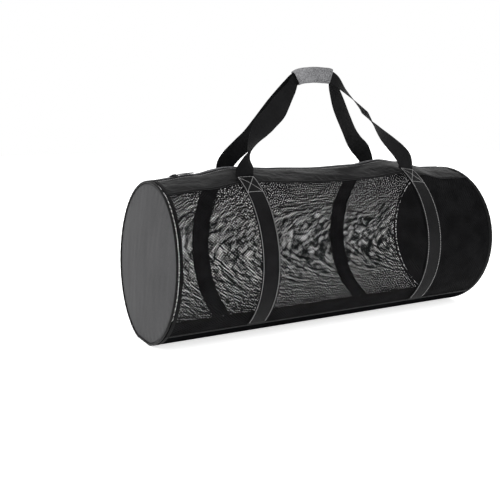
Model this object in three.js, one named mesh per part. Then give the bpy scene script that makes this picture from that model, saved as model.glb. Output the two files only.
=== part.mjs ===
// Mesh dive gear bag: a long round duffel of open mesh with solid cloth ends, top and base.
// Millimetres, +Z up. X runs along the bag, the photographed long side faces -Y, and the bag rests on Z = 0.
import * as THREE from "three";

// Driving dimensions of the bag
const BAG_LENGTH = 952.5;
const BAG_DIAMETER = 381;
const CLOTH = 1.4; // coated polyester of the ends, top and base
const NET = 1.2; // knitted mesh panels
const REST_FLAT = 4; // how far the round base is pressed flat where it lies
const END_BULGE = 7; // how far each end panel swells out
const PIPING_R = 3.2; // radius of the covered cord round each end
const CLEAR = 0.3; // gap between sewn neighbours

// Angles are measured round the bag from the top, in degrees, positive towards the front
const TOP_EDGE = 28;
const BASE_EDGE = { front: 140, back: 158 };

// Zip along the top
const ZIP_INSET = 36; // from each end of the bag to the end of the chain
const TAPE_WIDTH = 15;
const TAPE = 0.9;
const CHAIN_WIDTH = 6;
const CHAIN_HEIGHT = 2.4;
const SLIDER_LENGTH = 22;
const SLIDER_WIDTH = 12;
const SLIDER_HEIGHT = 4.2;
const PULL_LENGTH = 42;
const PULL_WIDTH = 10;
const PULL = 2.2;

// Seam binding
const BINDING_WIDTH = 9;
const BINDING = 0.8;

// Webbing and handles
const WEB_WIDTH = 50;
const WEB = 1.6;
const WEB_SPACING = 508; // between the two belly straps in front
const BACK_SPACING = 462; // and behind
const BACK_SHIFT = 9; // how far right of the middle the pair behind sits
const SEWN_TO = 22; // angle where the webbing leaves the bag and becomes a handle
const SEWN_SHORT = 2.5; // degrees by which its lower end stops short of the base seam
const HANDLE_RISE = 238; // from the sewn end up to the middle of the grip
const SLOPE_FADE = 0.16; // share of the free length over which the webbing stops sloping with the skin
const PAIR_GAP = 2; // between the two handles inside the grip

// Grip wrap
const GRIP_WALL = 3;
const GRIP_ROOM = 3.2; // between the handles and the wrap
const GRIP_SWELL = 1; // extra padding on the grip's two faces

// The mesh is pulled up where the handles lift it. along and lift are shares of half the length and of RIDGE_LIFT.
const RIDGE_LIFT = 27;
const RIDGE = [
  { along: -1.0, lift: 0.0 },
  { along: -0.76, lift: 0.36 },
  { along: -0.54, lift: 0.86 },
  { along: -0.26, lift: 0.62 },
  { along: 0.0, lift: 0.5 },
  { along: 0.26, lift: 0.62 },
  { along: 0.46, lift: 1.0 },
  { along: 0.6, lift: 0.72 },
  { along: 0.8, lift: 0.06 },
  { along: 1.0, lift: 0.0 },
];

// The left end leans: its back and its top sit further in than its front and foot.
const LEAN_BACK = 21;
const LEAN_TOP = 10;
const LEAN_REACH = 0.5; // share of half the length over which the lean fades

// Soft hollows in the mesh between the stiff rings: places as shares of half the length, depths in mm
const HOLLOW_DEPTH = 5;
const HOLLOWS = [
  { along: -0.77, round: 70, depth: 0.8, reach: 0.16 },
  { along: -0.1, round: 62, depth: 1.0, reach: 0.34 },
  { along: 0.78, round: 74, depth: 0.7, reach: 0.15 },
  { along: -0.05, round: -68, depth: 0.9, reach: 0.36 },
  { along: 0.75, round: -60, depth: 0.7, reach: 0.16 },
  { along: -0.76, round: -66, depth: 0.7, reach: 0.15 },
];
const HOLLOW_SPREAD = 34; // degrees round the bag

// Handle routes. along is a share of half the strap spacing, out of the sewn end's distance from the middle,
// up of HANDLE_RISE; wide is the direction of the webbing's width there and fold how much of the width is left
// where the webbing is gathered for the grip.
const FRONT_HANDLE = [
  { along: -0.995, out: 1.0, up: 0.045, fold: 1.0, wide: [1, 0, 0] },
  { along: -0.965, out: 0.98, up: 0.11, fold: 1.0, wide: [0.95, 0.3, -0.15] },
  { along: -0.92, out: 0.88, up: 0.21, fold: 1.0, wide: [0.55, 0.85, -0.1] },
  { along: -0.864, out: 0.78, up: 0.307, fold: 1.0, wide: [0.15, 1, 0] },
  { along: -0.787, out: 0.67, up: 0.4, fold: 1.0, wide: [-0.3, 0.85, 0.15] },
  { along: -0.697, out: 0.555, up: 0.496, fold: 1.0, wide: [-0.56, 0.5, 0.36] },
  { along: -0.55, out: 0.4, up: 0.61, fold: 1.0, wide: [-0.56, 0.4, 0.45] },
  { along: -0.457, out: 0.285, up: 0.71, fold: 0.92, wide: [-0.5, 0.3, 0.55] },
  { along: -0.317, out: 0.12, up: 0.853, fold: 0.68, wide: [-0.4, 0.12, 0.8] },
  { along: -0.23, out: 0.03, up: 0.965, fold: 0.56, wide: [-0.15, 0, 1] },
  { along: -0.067, out: 0, up: 1.0, fold: 0.56, wide: [-0.02, 0, 1] },
  { along: 0.1, out: 0, up: 1.0, fold: 0.56, wide: [0.05, 0, 1] },
  { along: 0.2, out: 0.02, up: 0.985, fold: 0.56, wide: [0.15, 0, 1] },
  { along: 0.358, out: 0.2, up: 0.828, fold: 0.72, wide: [0.35, 0.75, 0.45] },
  { along: 0.53, out: 0.415, up: 0.643, fold: 0.95, wide: [0.35, 0.95, 0.1] },
  { along: 0.567, out: 0.47, up: 0.588, fold: 1.0, wide: [0.4, 0.92, 0] },
  { along: 0.72, out: 0.68, up: 0.39, fold: 1.0, wide: [0.75, 0.55, 0.3] },
  { along: 0.82, out: 0.84, up: 0.28, fold: 1.0, wide: [0.85, 0.3, 0.4] },
  { along: 0.905, out: 0.96, up: 0.19, fold: 1.0, wide: [0.92, 0.12, 0.35] },
  { along: 0.965, out: 1.0, up: 0.12, fold: 1.0, wide: [0.97, 0, 0.22] },
  { along: 0.992, out: 1.0, up: 0.065, fold: 1.0, wide: [1, 0, 0.08] },
];
const BACK_HANDLE = [
  { along: -0.992, out: 1.0, up: 0.06, fold: 1.0, wide: [1, 0, -0.08] },
  { along: -0.96, out: 0.98, up: 0.115, fold: 1.0, wide: [0.97, 0, -0.22] },
  { along: -0.9, out: 0.93, up: 0.18, fold: 1.0, wide: [0.9, 0, -0.38] },
  { along: -0.82, out: 0.82, up: 0.26, fold: 1.0, wide: [0.85, -0.05, -0.45] },
  { along: -0.735, out: 0.69, up: 0.345, fold: 1.0, wide: [0.8, -0.1, -0.5] },
  { along: -0.636, out: 0.5, up: 0.483, fold: 1.0, wide: [0.75, -0.15, -0.5] },
  { along: -0.502, out: 0.27, up: 0.689, fold: 0.95, wide: [0.7, -0.1, -0.5] },
  { along: -0.375, out: 0.1, up: 0.885, fold: 0.66, wide: [0.45, 0, -0.75] },
  { along: -0.3, out: 0.03, up: 0.965, fold: 0.56, wide: [0.15, 0, -1] },
  { along: -0.113, out: 0, up: 1.0, fold: 0.56, wide: [0.02, 0, -1] },
  { along: 0.05, out: 0, up: 1.0, fold: 0.56, wide: [-0.05, 0, -1] },
  { along: 0.18, out: 0.02, up: 0.985, fold: 0.56, wide: [-0.2, 0, -1] },
  { along: 0.25, out: 0.12, up: 0.87, fold: 0.66, wide: [-0.6, 0, -0.6] },
  { along: 0.372, out: 0.3, up: 0.697, fold: 0.92, wide: [-0.85, -0.1, -0.5] },
  { along: 0.576, out: 0.576, up: 0.454, fold: 1.0, wide: [-0.9, -0.2, -0.55] },
  { along: 0.7, out: 0.75, up: 0.32, fold: 1.0, wide: [-0.9, -0.15, -0.5] },
  { along: 0.81, out: 0.88, up: 0.23, fold: 1.0, wide: [-0.92, -0.05, -0.45] },
  { along: 0.9, out: 0.95, up: 0.17, fold: 1.0, wide: [-0.95, 0, -0.22] },
  { along: 0.96, out: 0.99, up: 0.115, fold: 1.0, wide: [-0.98, 0, -0.1] },
  { along: 0.994, out: 1.0, up: 0.055, fold: 1.0, wide: [-1, 0, -0.04] },
];
const GRIP_FOLD = 0.56;
const GRIP_FROM = -0.245; // where the grip starts and ends, as shares of half the strap spacing
const GRIP_TO = 0.19;

// How finely the soft surfaces are cut
const STEPS_ALONG = 22;
const DEGREES_PER_STEP = 8;
const RING_STEPS = 48;
const FREE_STEPS = 48;
const PANEL_RINGS = 3;
const CORD_SIDES = 6;
const GRIP_STEPS = 8;
const GRIP_SIDES = 16;

const HALF = BAG_LENGTH / 2;
const ZIP_LENGTH = BAG_LENGTH - 2 * ZIP_INSET;
const R = BAG_DIAMETER / 2;
const RAD = Math.PI / 180;
const BODY_END = HALF - 2 * PIPING_R - CLEAR;
const PANEL_R = R - 2 * PIPING_R - CLEAR;
const BINDING_OFF = 0.2;
const FACET_DIP = R * (1 - Math.cos((DEGREES_PER_STEP / 2) * RAD)); // between two cuts of the round skin
const WEB_OFF = BINDING_OFF + BINDING + FACET_DIP + CLEAR;
const degreesFor = (mm) => mm / R / RAD;
const smooth = (t) => {
  const c = Math.min(1, Math.max(0, t));
  return c * c * (3 - 2 * c);
};

// Height of the pulled-up ridge at a place along the bag
function ridgeLift(x) {
  const at = Math.min(1, Math.max(-1, x / HALF));
  const i = Math.max(1, RIDGE.findIndex((row) => row.along >= at));
  const [a, b] = [RIDGE[i - 1], RIDGE[i]];
  return RIDGE_LIFT * (a.lift + (b.lift - a.lift) * smooth((at - a.along) / (b.along - a.along)));
}

// How deep the mesh sinks in at a place on the bag
function hollowDepth(x, degrees) {
  return HOLLOWS.reduce((sum, h) => {
    const far = ((x / HALF - h.along) / h.reach) ** 2 + ((degrees - h.round) / HOLLOW_SPREAD) ** 2;
    return sum + HOLLOW_DEPTH * h.depth * Math.exp(-far);
  }, 0);
}

// A point of the bag's outer skin, moved out by off along the round section's normal
function skin(x, degrees, off = 0) {
  const signed = degrees > 180 ? degrees - 360 : degrees;
  const a = signed * RAD;
  const radius = R - hollowDepth(x, signed);
  const out = new THREE.Vector2(-Math.sin(a), Math.cos(a));
  const upper = ((1 + Math.cos(a)) / 2) ** 3;
  const y = out.x * radius;
  const z = Math.max(R + out.y * radius, REST_FLAT) - REST_FLAT + ridgeLift(x) * upper;
  const fade = smooth((-x / HALF - (1 - LEAN_REACH)) / LEAN_REACH);
  const lean = fade * ((LEAN_BACK * y) / R + (LEAN_TOP * (z - R)) / R);
  return new THREE.Vector3(x + lean, y + out.x * off, z + out.y * off);
}

// The direction that faces away from the bag at an angle
const outward = (degrees) => new THREE.Vector3(0, -Math.sin(degrees * RAD), Math.cos(degrees * RAD));

// A closed geometry from rows of points. Faces that point inwards are turned round.
function closedGeometry(points, triangles) {
  let volume = 0;
  for (const [i, j, k] of triangles) volume += points[i].dot(points[j].clone().cross(points[k]));
  const index = triangles.flatMap(([i, j, k]) => (volume < 0 ? [i, k, j] : [i, j, k]));
  const geometry = new THREE.BufferGeometry().setFromPoints(points);
  geometry.setIndex(index);
  geometry.computeVertexNormals();
  return geometry;
}

// A wall between two surfaces of (u, v), each 0 to 1. round closes it on itself in v.
function wallGeometry(stepsU, stepsV, outer, inner, round = false) {
  const rows = round ? stepsV : stepsV + 1;
  const points = [];
  for (const surface of [outer, inner])
    for (let i = 0; i <= stepsU; i++)
      for (let j = 0; j < rows; j++) points.push(surface(i / stepsU, j / stepsV));
  const at = (layer, i, j) => (layer * (stepsU + 1) + i) * rows + (j % rows);
  const triangles = [];
  const quad = (a, b, c, d) => triangles.push([a, b, c], [a, c, d]);
  for (let i = 0; i < stepsU; i++)
    for (let j = 0; j < stepsV; j++) {
      quad(at(0, i, j), at(0, i + 1, j), at(0, i + 1, j + 1), at(0, i, j + 1));
      quad(at(1, i, j), at(1, i, j + 1), at(1, i + 1, j + 1), at(1, i + 1, j));
    }
  for (let j = 0; j < stepsV; j++) {
    quad(at(0, 0, j), at(0, 0, j + 1), at(1, 0, j + 1), at(1, 0, j));
    quad(at(0, stepsU, j), at(1, stepsU, j), at(1, stepsU, j + 1), at(0, stepsU, j + 1));
  }
  if (!round)
    for (let i = 0; i < stepsU; i++) {
      quad(at(0, i, 0), at(1, i, 0), at(1, i + 1, 0), at(0, i + 1, 0));
      quad(at(0, i, stepsV), at(0, i + 1, stepsV), at(1, i + 1, stepsV), at(1, i, stepsV));
    }
  return closedGeometry(points, triangles);
}

// Places along the bag that the strips under one pair of straps share, so that the layers follow one another.
// The edges and the middle of each strap are among them.
const pairs = {
  front: { centre: 0, half: WEB_SPACING / 2, sewnFrom: BASE_EDGE.front - SEWN_SHORT },
  back: { centre: BACK_SHIFT, half: BACK_SPACING / 2, sewnFrom: BASE_EDGE.back - SEWN_SHORT },
};
function placesUnder({ centre, half }) {
  const straps = [-1, 1].flatMap((side) => [-1, 0, 1].map((k) => centre + side * half + (k * WEB_WIDTH) / 2));
  const even = Array.from({ length: STEPS_ALONG + 1 }, (_, i) => -HALF + (BAG_LENGTH * i) / STEPS_ALONG);
  const clear = even.filter((x) => straps.every((place) => Math.abs(place - x) > WEB_WIDTH / 5));
  return [...clear, ...straps].sort((a, b) => a - b);
}

// A strip of the bag's skin between two angles, from off `low` to off `high`
function skinStrip(fromX, toX, fromDeg, toDeg, low, high, pair = pairs.front) {
  const stepsV = Math.max(1, Math.ceil(Math.abs(toDeg - fromDeg) / DEGREES_PER_STEP));
  const places = [fromX, ...placesUnder(pair).filter((x) => x > fromX + CLEAR && x < toX - CLEAR), toX];
  const stepsU = places.length - 1;
  const layer = (off) => (u, v) => skin(places[Math.round(u * stepsU)], fromDeg + (toDeg - fromDeg) * v, off);
  return wallGeometry(stepsU, stepsV, layer(high), layer(low));
}

// A round end panel: rings that shrink to one middle point on each side of the cloth
function endPanelGeometry(side) {
  const rings = PANEL_RINGS;
  const rim = (j) => skin(side * (HALF - PIPING_R), (360 * j) / RING_STEPS, PANEL_R - R);
  const rims = Array.from({ length: RING_STEPS }, (_, j) => rim(j));
  const middle = rims.reduce((sum, p) => sum.add(p), new THREE.Vector3()).divideScalar(RING_STEPS);
  const surface = (share, j, off) =>
    middle.clone().lerp(rims[j % RING_STEPS], share)
      .add(new THREE.Vector3(side * (END_BULGE * (1 - share * share) + off), 0, 0));
  const points = [];
  const triangles = [];
  for (const off of [CLOTH / 2, -CLOTH / 2]) {
    points.push(surface(0, 0, off));
    for (let i = 1; i <= rings; i++)
      for (let j = 0; j < RING_STEPS; j++) points.push(surface(i / rings, j, off));
  }
  const layerSize = 1 + rings * RING_STEPS;
  const at = (layer, i, j) => layer * layerSize + (i === 0 ? 0 : 1 + (i - 1) * RING_STEPS + (j % RING_STEPS));
  for (let j = 0; j < RING_STEPS; j++) {
    triangles.push([at(0, 0, 0), at(0, 1, j), at(0, 1, j + 1)]);
    triangles.push([at(1, 0, 0), at(1, 1, j + 1), at(1, 1, j)]);
    for (let i = 1; i < rings; i++) {
      triangles.push([at(0, i, j), at(0, i + 1, j), at(0, i + 1, j + 1)]);
      triangles.push([at(0, i, j), at(0, i + 1, j + 1), at(0, i, j + 1)]);
      triangles.push([at(1, i, j), at(1, i + 1, j + 1), at(1, i + 1, j)]);
      triangles.push([at(1, i, j), at(1, i, j + 1), at(1, i + 1, j + 1)]);
    }
    triangles.push([at(0, rings, j), at(1, rings, j), at(1, rings, j + 1)]);
    triangles.push([at(0, rings, j), at(1, rings, j + 1), at(0, rings, j + 1)]);
  }
  return closedGeometry(points, triangles);
}

// The covered cord round an end: a tube that closes on itself
function pipingGeometry(side) {
  const sides = CORD_SIDES;
  const points = [];
  const triangles = [];
  for (let j = 0; j < RING_STEPS; j++)
    for (let k = 0; k < sides; k++) {
      const a = (2 * Math.PI * k) / sides;
      const off = -PIPING_R + PIPING_R * Math.cos(a);
      const p = skin(side * (HALF - PIPING_R), (360 * j) / RING_STEPS, off);
      p.x += PIPING_R * Math.sin(a);
      points.push(p);
    }
  const at = (j, k) => (j % RING_STEPS) * sides + (k % sides);
  for (let j = 0; j < RING_STEPS; j++)
    for (let k = 0; k < sides; k++) {
      triangles.push([at(j, k), at(j + 1, k), at(j + 1, k + 1)]);
      triangles.push([at(j, k), at(j + 1, k + 1), at(j, k + 1)]);
    }
  return closedGeometry(points, triangles);
}

// The stations of one webbing: sewn up the bag, over the handle and sewn down again. face is +1 in front.
function webbingStations(face, { centre, half, sewnFrom }, route, turned) {
  const mid = WEB_OFF + WEB / 2;
  const sewn = (x) => {
    const count = Math.ceil((sewnFrom - SEWN_TO) / DEGREES_PER_STEP);
    return Array.from({ length: count + 1 }, (_, i) => {
      const degrees = face * (sewnFrom + ((SEWN_TO - sewnFrom) * i) / count);
      return { p: skin(x, degrees, mid), normal: outward(degrees), wide: new THREE.Vector3(1, 0, 0), x, degrees };
    });
  };
  const left = sewn(centre - half);
  const right = sewn(centre + half).reverse();
  const [start, end] = [left[left.length - 1].p, right[0].p];
  const wideEnd = new THREE.Vector3(turned ? 1 : -1, 0, 0);
  const place = (row) => {
    const foot = start.clone().lerp(end, (row.along + 1) / 2);
    const y = Math.sign(foot.y) * Math.max((WEB + PAIR_GAP) / 2, Math.abs(foot.y) * row.out);
    return new THREE.Vector3(centre + row.along * half, y, foot.z + row.up * HANDLE_RISE);
  };
  const way = new THREE.CatmullRomCurve3([start, ...route.map(place), end], false, "centripetal");
  const wides = [new THREE.Vector3(1, 0, 0), ...route.map((row) => new THREE.Vector3(...row.wide)), wideEnd];
  const turn = new THREE.CatmullRomCurve3(wides, false, "catmullrom", 0.5);
  const gathers = [1, ...route.map((row) => row.fold), 1].map((fold) => new THREE.Vector3(fold, 0, 0));
  const gather = new THREE.CatmullRomCurve3(gathers, false, "catmullrom", 0.5);
  const free = Array.from({ length: FREE_STEPS - 1 }, (_, i) => {
    const t = (i + 1) / FREE_STEPS;
    const along = way.getTangent(t);
    const p = way.getPoint(t);
    p.y = Math.sign(start.y) * Math.max((WEB + PAIR_GAP) / 2, Math.abs(p.y));
    const wide = turn.getPoint(t);
    wide.addScaledVector(along, -wide.dot(along)).normalize();
    // Close to where it leaves the bag the webbing still slopes across with the skin below it
    const near = centre + (t < 0.5 ? -half : half);
    const fold = Math.min(1, gather.getPoint(t).x);
    const slope = 1 - smooth(Math.min(t, 1 - t) / SLOPE_FADE);
    return { p, normal: wide.clone().cross(along).multiplyScalar(face), wide, near, slope, fold };
  });
  const over = turned ? -1 : 1;
  const tail = right.map((s) => ({ ...s, wide: wideEnd, normal: s.normal.clone().multiplyScalar(over) }));
  return [...left, ...free, ...tail];
}

// A band of webbing through its stations: it follows the skin where it is sewn, and is flat where it is free
function webbingGeometry(stations) {
  const surface = (side) => (u, v) => {
    const s = stations[Math.round(u * (stations.length - 1))];
    const across = (v - 0.5) * WEB_WIDTH;
    if (s.degrees !== undefined)
      return skin(s.x + across * s.wide.x, s.degrees, WEB_OFF + WEB / 2).addScaledVector(s.normal, (side * WEB) / 2);
    const p = s.p.clone().addScaledVector(s.wide, across * s.fold).addScaledVector(s.normal, (side * WEB) / 2);
    p.z += s.slope * (skin(s.near + across * s.wide.x, SEWN_TO).z - skin(s.near, SEWN_TO).z);
    return p;
  };
  return wallGeometry(stations.length - 1, 2, surface(1), surface(-1));
}

// The wrap that holds both handles: a flat rounded sleeve that follows them
function gripGeometry(front) {
  const half = WEB_SPACING / 2;
  const inside = front.filter(({ p }) => p.x >= GRIP_FROM * half && p.x <= GRIP_TO * half);
  const line = new THREE.CatmullRomCurve3(inside.map((s) => new THREE.Vector3(s.p.x, 0, s.p.z)));
  const section = (halfTall, halfThick) => (u, v) => {
    const a = 2 * Math.PI * v;
    const along = line.getTangentAt(u);
    const tall = new THREE.Vector3(-along.z, 0, along.x);
    const round = (c) => Math.sign(c) * Math.abs(c) ** 0.5;
    return line.getPointAt(u)
      .addScaledVector(tall, halfTall * round(Math.sin(a)))
      .add(new THREE.Vector3(0, halfThick * round(Math.cos(a)), 0));
  };
  const innerTall = (WEB_WIDTH * GRIP_FOLD) / 2 + GRIP_ROOM;
  const innerThick = WEB + PAIR_GAP / 2 + GRIP_ROOM;
  return wallGeometry(
    GRIP_STEPS,
    GRIP_SIDES,
    section(innerTall + GRIP_WALL, innerThick + GRIP_WALL + GRIP_SWELL),
    section(innerTall, innerThick),
    true,
  );
}

// The zip slider: a low block that rides on the chain
function sliderGeometry() {
  const outline = new THREE.Shape();
  outline.moveTo(-SLIDER_WIDTH / 2, 0);
  outline.lineTo(SLIDER_WIDTH / 2, 0);
  outline.lineTo(SLIDER_WIDTH / 2, SLIDER_HEIGHT * 0.7);
  outline.lineTo(SLIDER_WIDTH / 4, SLIDER_HEIGHT);
  outline.lineTo(-SLIDER_WIDTH / 4, SLIDER_HEIGHT);
  outline.lineTo(-SLIDER_WIDTH / 2, SLIDER_HEIGHT * 0.7);
  const block = new THREE.ExtrudeGeometry(outline, { depth: SLIDER_LENGTH, bevelEnabled: false });
  return block.rotateY(Math.PI / 2).rotateX(Math.PI / 2);
}

// The pull: a flat tab with round ends and a hole
function pullGeometry() {
  const r = PULL_WIDTH / 2;
  const outline = new THREE.Shape();
  outline.absarc(0, 0, r, Math.PI / 2, (3 * Math.PI) / 2, false);
  outline.absarc(PULL_LENGTH - PULL_WIDTH, 0, r, -Math.PI / 2, Math.PI / 2, false);
  const hole = new THREE.Path();
  hole.absarc(PULL_LENGTH - PULL_WIDTH, 0, r / 2, 0, 2 * Math.PI, true);
  outline.holes.push(hole);
  const tab = new THREE.ExtrudeGeometry(outline, { depth: PULL, bevelEnabled: false, curveSegments: 8 });
  return tab.translate(r, 0, 0);
}

const finish = (color, roughness, metalness = 0) => new THREE.MeshStandardMaterial({ color, roughness, metalness });
const greyCloth = finish("#4a4a4b", 0.82);
const blackCloth = finish("#1b1b1c", 0.78);
const blackNet = finish("#262627", 0.75);
const webbing = finish("#202021", 0.7);
const pipingCover = finish("#141415", 0.6);
const gripCloth = finish("#6b6b6d", 0.9);
const zipMetal = finish("#2b2b2d", 0.4, 0.6);

const bag = new THREE.Group();
function add(name, geometry, material) {
  const mesh = new THREE.Mesh(geometry, material);
  mesh.name = name;
  bag.add(mesh);
  return mesh;
}

const seam = degreesFor(CLEAR);
const tapeEdge = degreesFor(TAPE_WIDTH);
const bindingHalf = degreesFor(BINDING_WIDTH / 2);
for (const [name, face] of [["front", 1], ["back", -1]]) {
  const baseEdge = BASE_EDGE[name];
  const strip = (from, to, low, high, pair = pairs[name]) =>
    skinStrip(-BODY_END, BODY_END, face * from, face * to, low, high, pair);
  add(`mesh_${name}`, strip(TOP_EDGE + seam, baseEdge - seam, -NET, 0), blackNet);
  add(`top_panel_${name}`, strip(tapeEdge + seam, TOP_EDGE, -CLOTH, 0), blackCloth);
  add(`zip_tape_${name}`, strip(seam / 2, tapeEdge, -TAPE, 0, pairs.front), blackCloth);
  add(`top_binding_${name}`, strip(TOP_EDGE - bindingHalf, TOP_EDGE + bindingHalf, BINDING_OFF,
    BINDING_OFF + BINDING), pipingCover);
  add(`base_binding_${name}`, strip(baseEdge - bindingHalf, baseEdge + bindingHalf, BINDING_OFF,
    BINDING_OFF + BINDING), pipingCover);
}
add("base_panel", skinStrip(-BODY_END, BODY_END, BASE_EDGE.front, 360 - BASE_EDGE.back, -CLOTH, 0), blackCloth);

const chainHalf = degreesFor(CHAIN_WIDTH / 2);
add("zip_chain", skinStrip(-ZIP_LENGTH / 2, ZIP_LENGTH / 2, -chainHalf, chainHalf, CLEAR, CHAIN_HEIGHT), zipMetal);

// Slider and pull lie one behind the other at the left end of the closed zip, each along the ridge under it
function layOnRidge(name, geometry, fromX, length, height) {
  const [foot, next] = [skin(fromX, 0), skin(fromX + length, 0)];
  const mesh = add(name, geometry, zipMetal);
  mesh.position.copy(foot).add(new THREE.Vector3(0, 0, height));
  mesh.rotation.y = -Math.atan2(next.z - foot.z, next.x - foot.x);
}
const sliderX = -ZIP_LENGTH / 2 + SLIDER_LENGTH * 0.8;
layOnRidge("zip_slider", sliderGeometry(), sliderX, SLIDER_LENGTH, CHAIN_HEIGHT + 2 * CLEAR);
layOnRidge("zip_pull", pullGeometry(), sliderX + SLIDER_LENGTH + 5 * CLEAR, PULL_LENGTH, CHAIN_HEIGHT + 4 * CLEAR);

for (const [name, side] of [["left", -1], ["right", 1]]) {
  add(`end_panel_${name}`, endPanelGeometry(side), greyCloth);
  add(`end_piping_${name}`, pipingGeometry(side), pipingCover);
}

const frontStations = webbingStations(1, pairs.front, FRONT_HANDLE, true);
const backStations = webbingStations(-1, pairs.back, BACK_HANDLE, false);
add("webbing_front", webbingGeometry(frontStations), webbing);
add("webbing_back", webbingGeometry(backStations), webbing);
add("handle_grip", gripGeometry(frontStations), gripCloth);

// The leaning end reaches further out than the other one, so the bag is moved until its box is centred
const box = new THREE.Box3().setFromObject(bag);
bag.position.set(-(box.min.x + box.max.x) / 2, -(box.min.y + box.max.y) / 2, -box.min.z);

export default bag;
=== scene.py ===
"""Mesh dive gear bag: the cloth, net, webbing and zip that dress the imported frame."""
import logging
import math
from dataclasses import dataclass, field
from enum import Enum
from functools import cache

import bpy
import numpy as np
from mathutils import Matrix, Vector


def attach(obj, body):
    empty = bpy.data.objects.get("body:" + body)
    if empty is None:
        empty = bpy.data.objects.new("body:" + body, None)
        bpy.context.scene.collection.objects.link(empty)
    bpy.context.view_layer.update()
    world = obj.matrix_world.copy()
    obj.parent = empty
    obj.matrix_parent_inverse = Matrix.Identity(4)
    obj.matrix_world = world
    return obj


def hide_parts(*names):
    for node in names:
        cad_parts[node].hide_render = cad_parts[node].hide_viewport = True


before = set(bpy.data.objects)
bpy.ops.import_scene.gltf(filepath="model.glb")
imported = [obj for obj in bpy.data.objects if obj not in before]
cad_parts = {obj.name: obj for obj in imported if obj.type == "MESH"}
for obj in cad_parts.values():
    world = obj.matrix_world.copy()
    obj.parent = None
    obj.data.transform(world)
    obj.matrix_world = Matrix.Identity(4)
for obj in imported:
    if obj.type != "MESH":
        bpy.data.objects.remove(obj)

log = logging.getLogger("gear_bag")
MM = 0.001
SHIFT = np.array([9.24, 0.11, 0.0])  # centres the leaning bag's box, in mm
ACROSS = np.array([0.0, 1.0, 0.0])  # from the front of the bag to its back


class Face(Enum):
    """The two long sides of the bag, as the sign of the angle round it."""

    FRONT = 1
    BACK = -1


class Side(Enum):
    """The two ends of the bag, as the sign of X."""

    LEFT = -1
    RIGHT = 1


def smooth(t: np.ndarray) -> np.ndarray:
    """Ease from 0 to 1: three t squared less two t cubed.

    Args:
        t: Any values; those outside 0 to 1 are held at the ends.

    Returns:
        The eased values.
    """
    c = np.clip(t, 0.0, 1.0)
    return c * c * (3 - 2 * c)


def unit(v: np.ndarray) -> np.ndarray:
    """Each vector divided by its own length.

    Args:
        v: Vectors along the last axis.

    Returns:
        Vectors of length one.
    """
    return v / np.maximum(np.linalg.norm(v, axis=-1, keepdims=True), 1e-9)


def through(points: np.ndarray, t: np.ndarray, power: float) -> np.ndarray:
    """A Catmull-Rom curve: on each span a cubic that meets both ends with the slopes of their neighbours.

    Args:
        points: The points that the curve passes through.
        t: Places on it, 0 at the first point and 1 at the last, each span taking an equal share.
        power: What the spans' lengths are raised to when slopes are weighed, 0 for even spans.

    Returns:
        One point for each place.
    """
    ends = np.vstack([2 * points[0] - points[1], points, 2 * points[-1] - points[-2]])
    spans = len(points) - 1
    at = np.clip(t * spans, 0, spans - 1e-9)
    i = at.astype(int)
    w = (at - i)[:, None]
    p0, p1, p2, p3 = ends[i], ends[i + 1], ends[i + 2], ends[i + 3]
    d0, d1, d2 = (np.maximum(np.linalg.norm(b - a, axis=1, keepdims=True), 1e-4) ** power
                  for a, b in ((p0, p1), (p1, p2), (p2, p3)))
    s1 = ((p1 - p0) / d0 - (p2 - p0) / (d0 + d1) + (p2 - p1) / d1) * d1
    s2 = ((p2 - p1) / d1 - (p3 - p1) / (d1 + d2) + (p3 - p2) / d2) * d1
    return p1 + s1 * w + (-3 * p1 + 3 * p2 - 2 * s1 - s2) * w**2 + (2 * p1 - 2 * p2 + s1 + s2) * w**3


def ripple(a: np.ndarray, b: np.ndarray, seed: int, waves: int = 7) -> np.ndarray:
    """Soft creases: a sum of sine waves in random directions, each a third finer and fainter than the last.

    Args:
        a: First coordinate, in wavelengths of the coarsest wave.
        b: Second coordinate, likewise.
        seed: Picks the directions and phases.
        waves: How many waves are added.

    Returns:
        Heights of about -1 to 1.
    """
    rng = np.random.default_rng(seed)
    total = np.zeros(np.broadcast(a, b).shape)
    for k in range(waves):
        turn, phase = rng.uniform(0, 2 * math.pi, 2)
        scale = 1.33**k
        total += np.sin(2 * math.pi * scale * (a * math.cos(turn) + b * math.sin(turn)) + phase) / scale
    return total / 2.6


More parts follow.
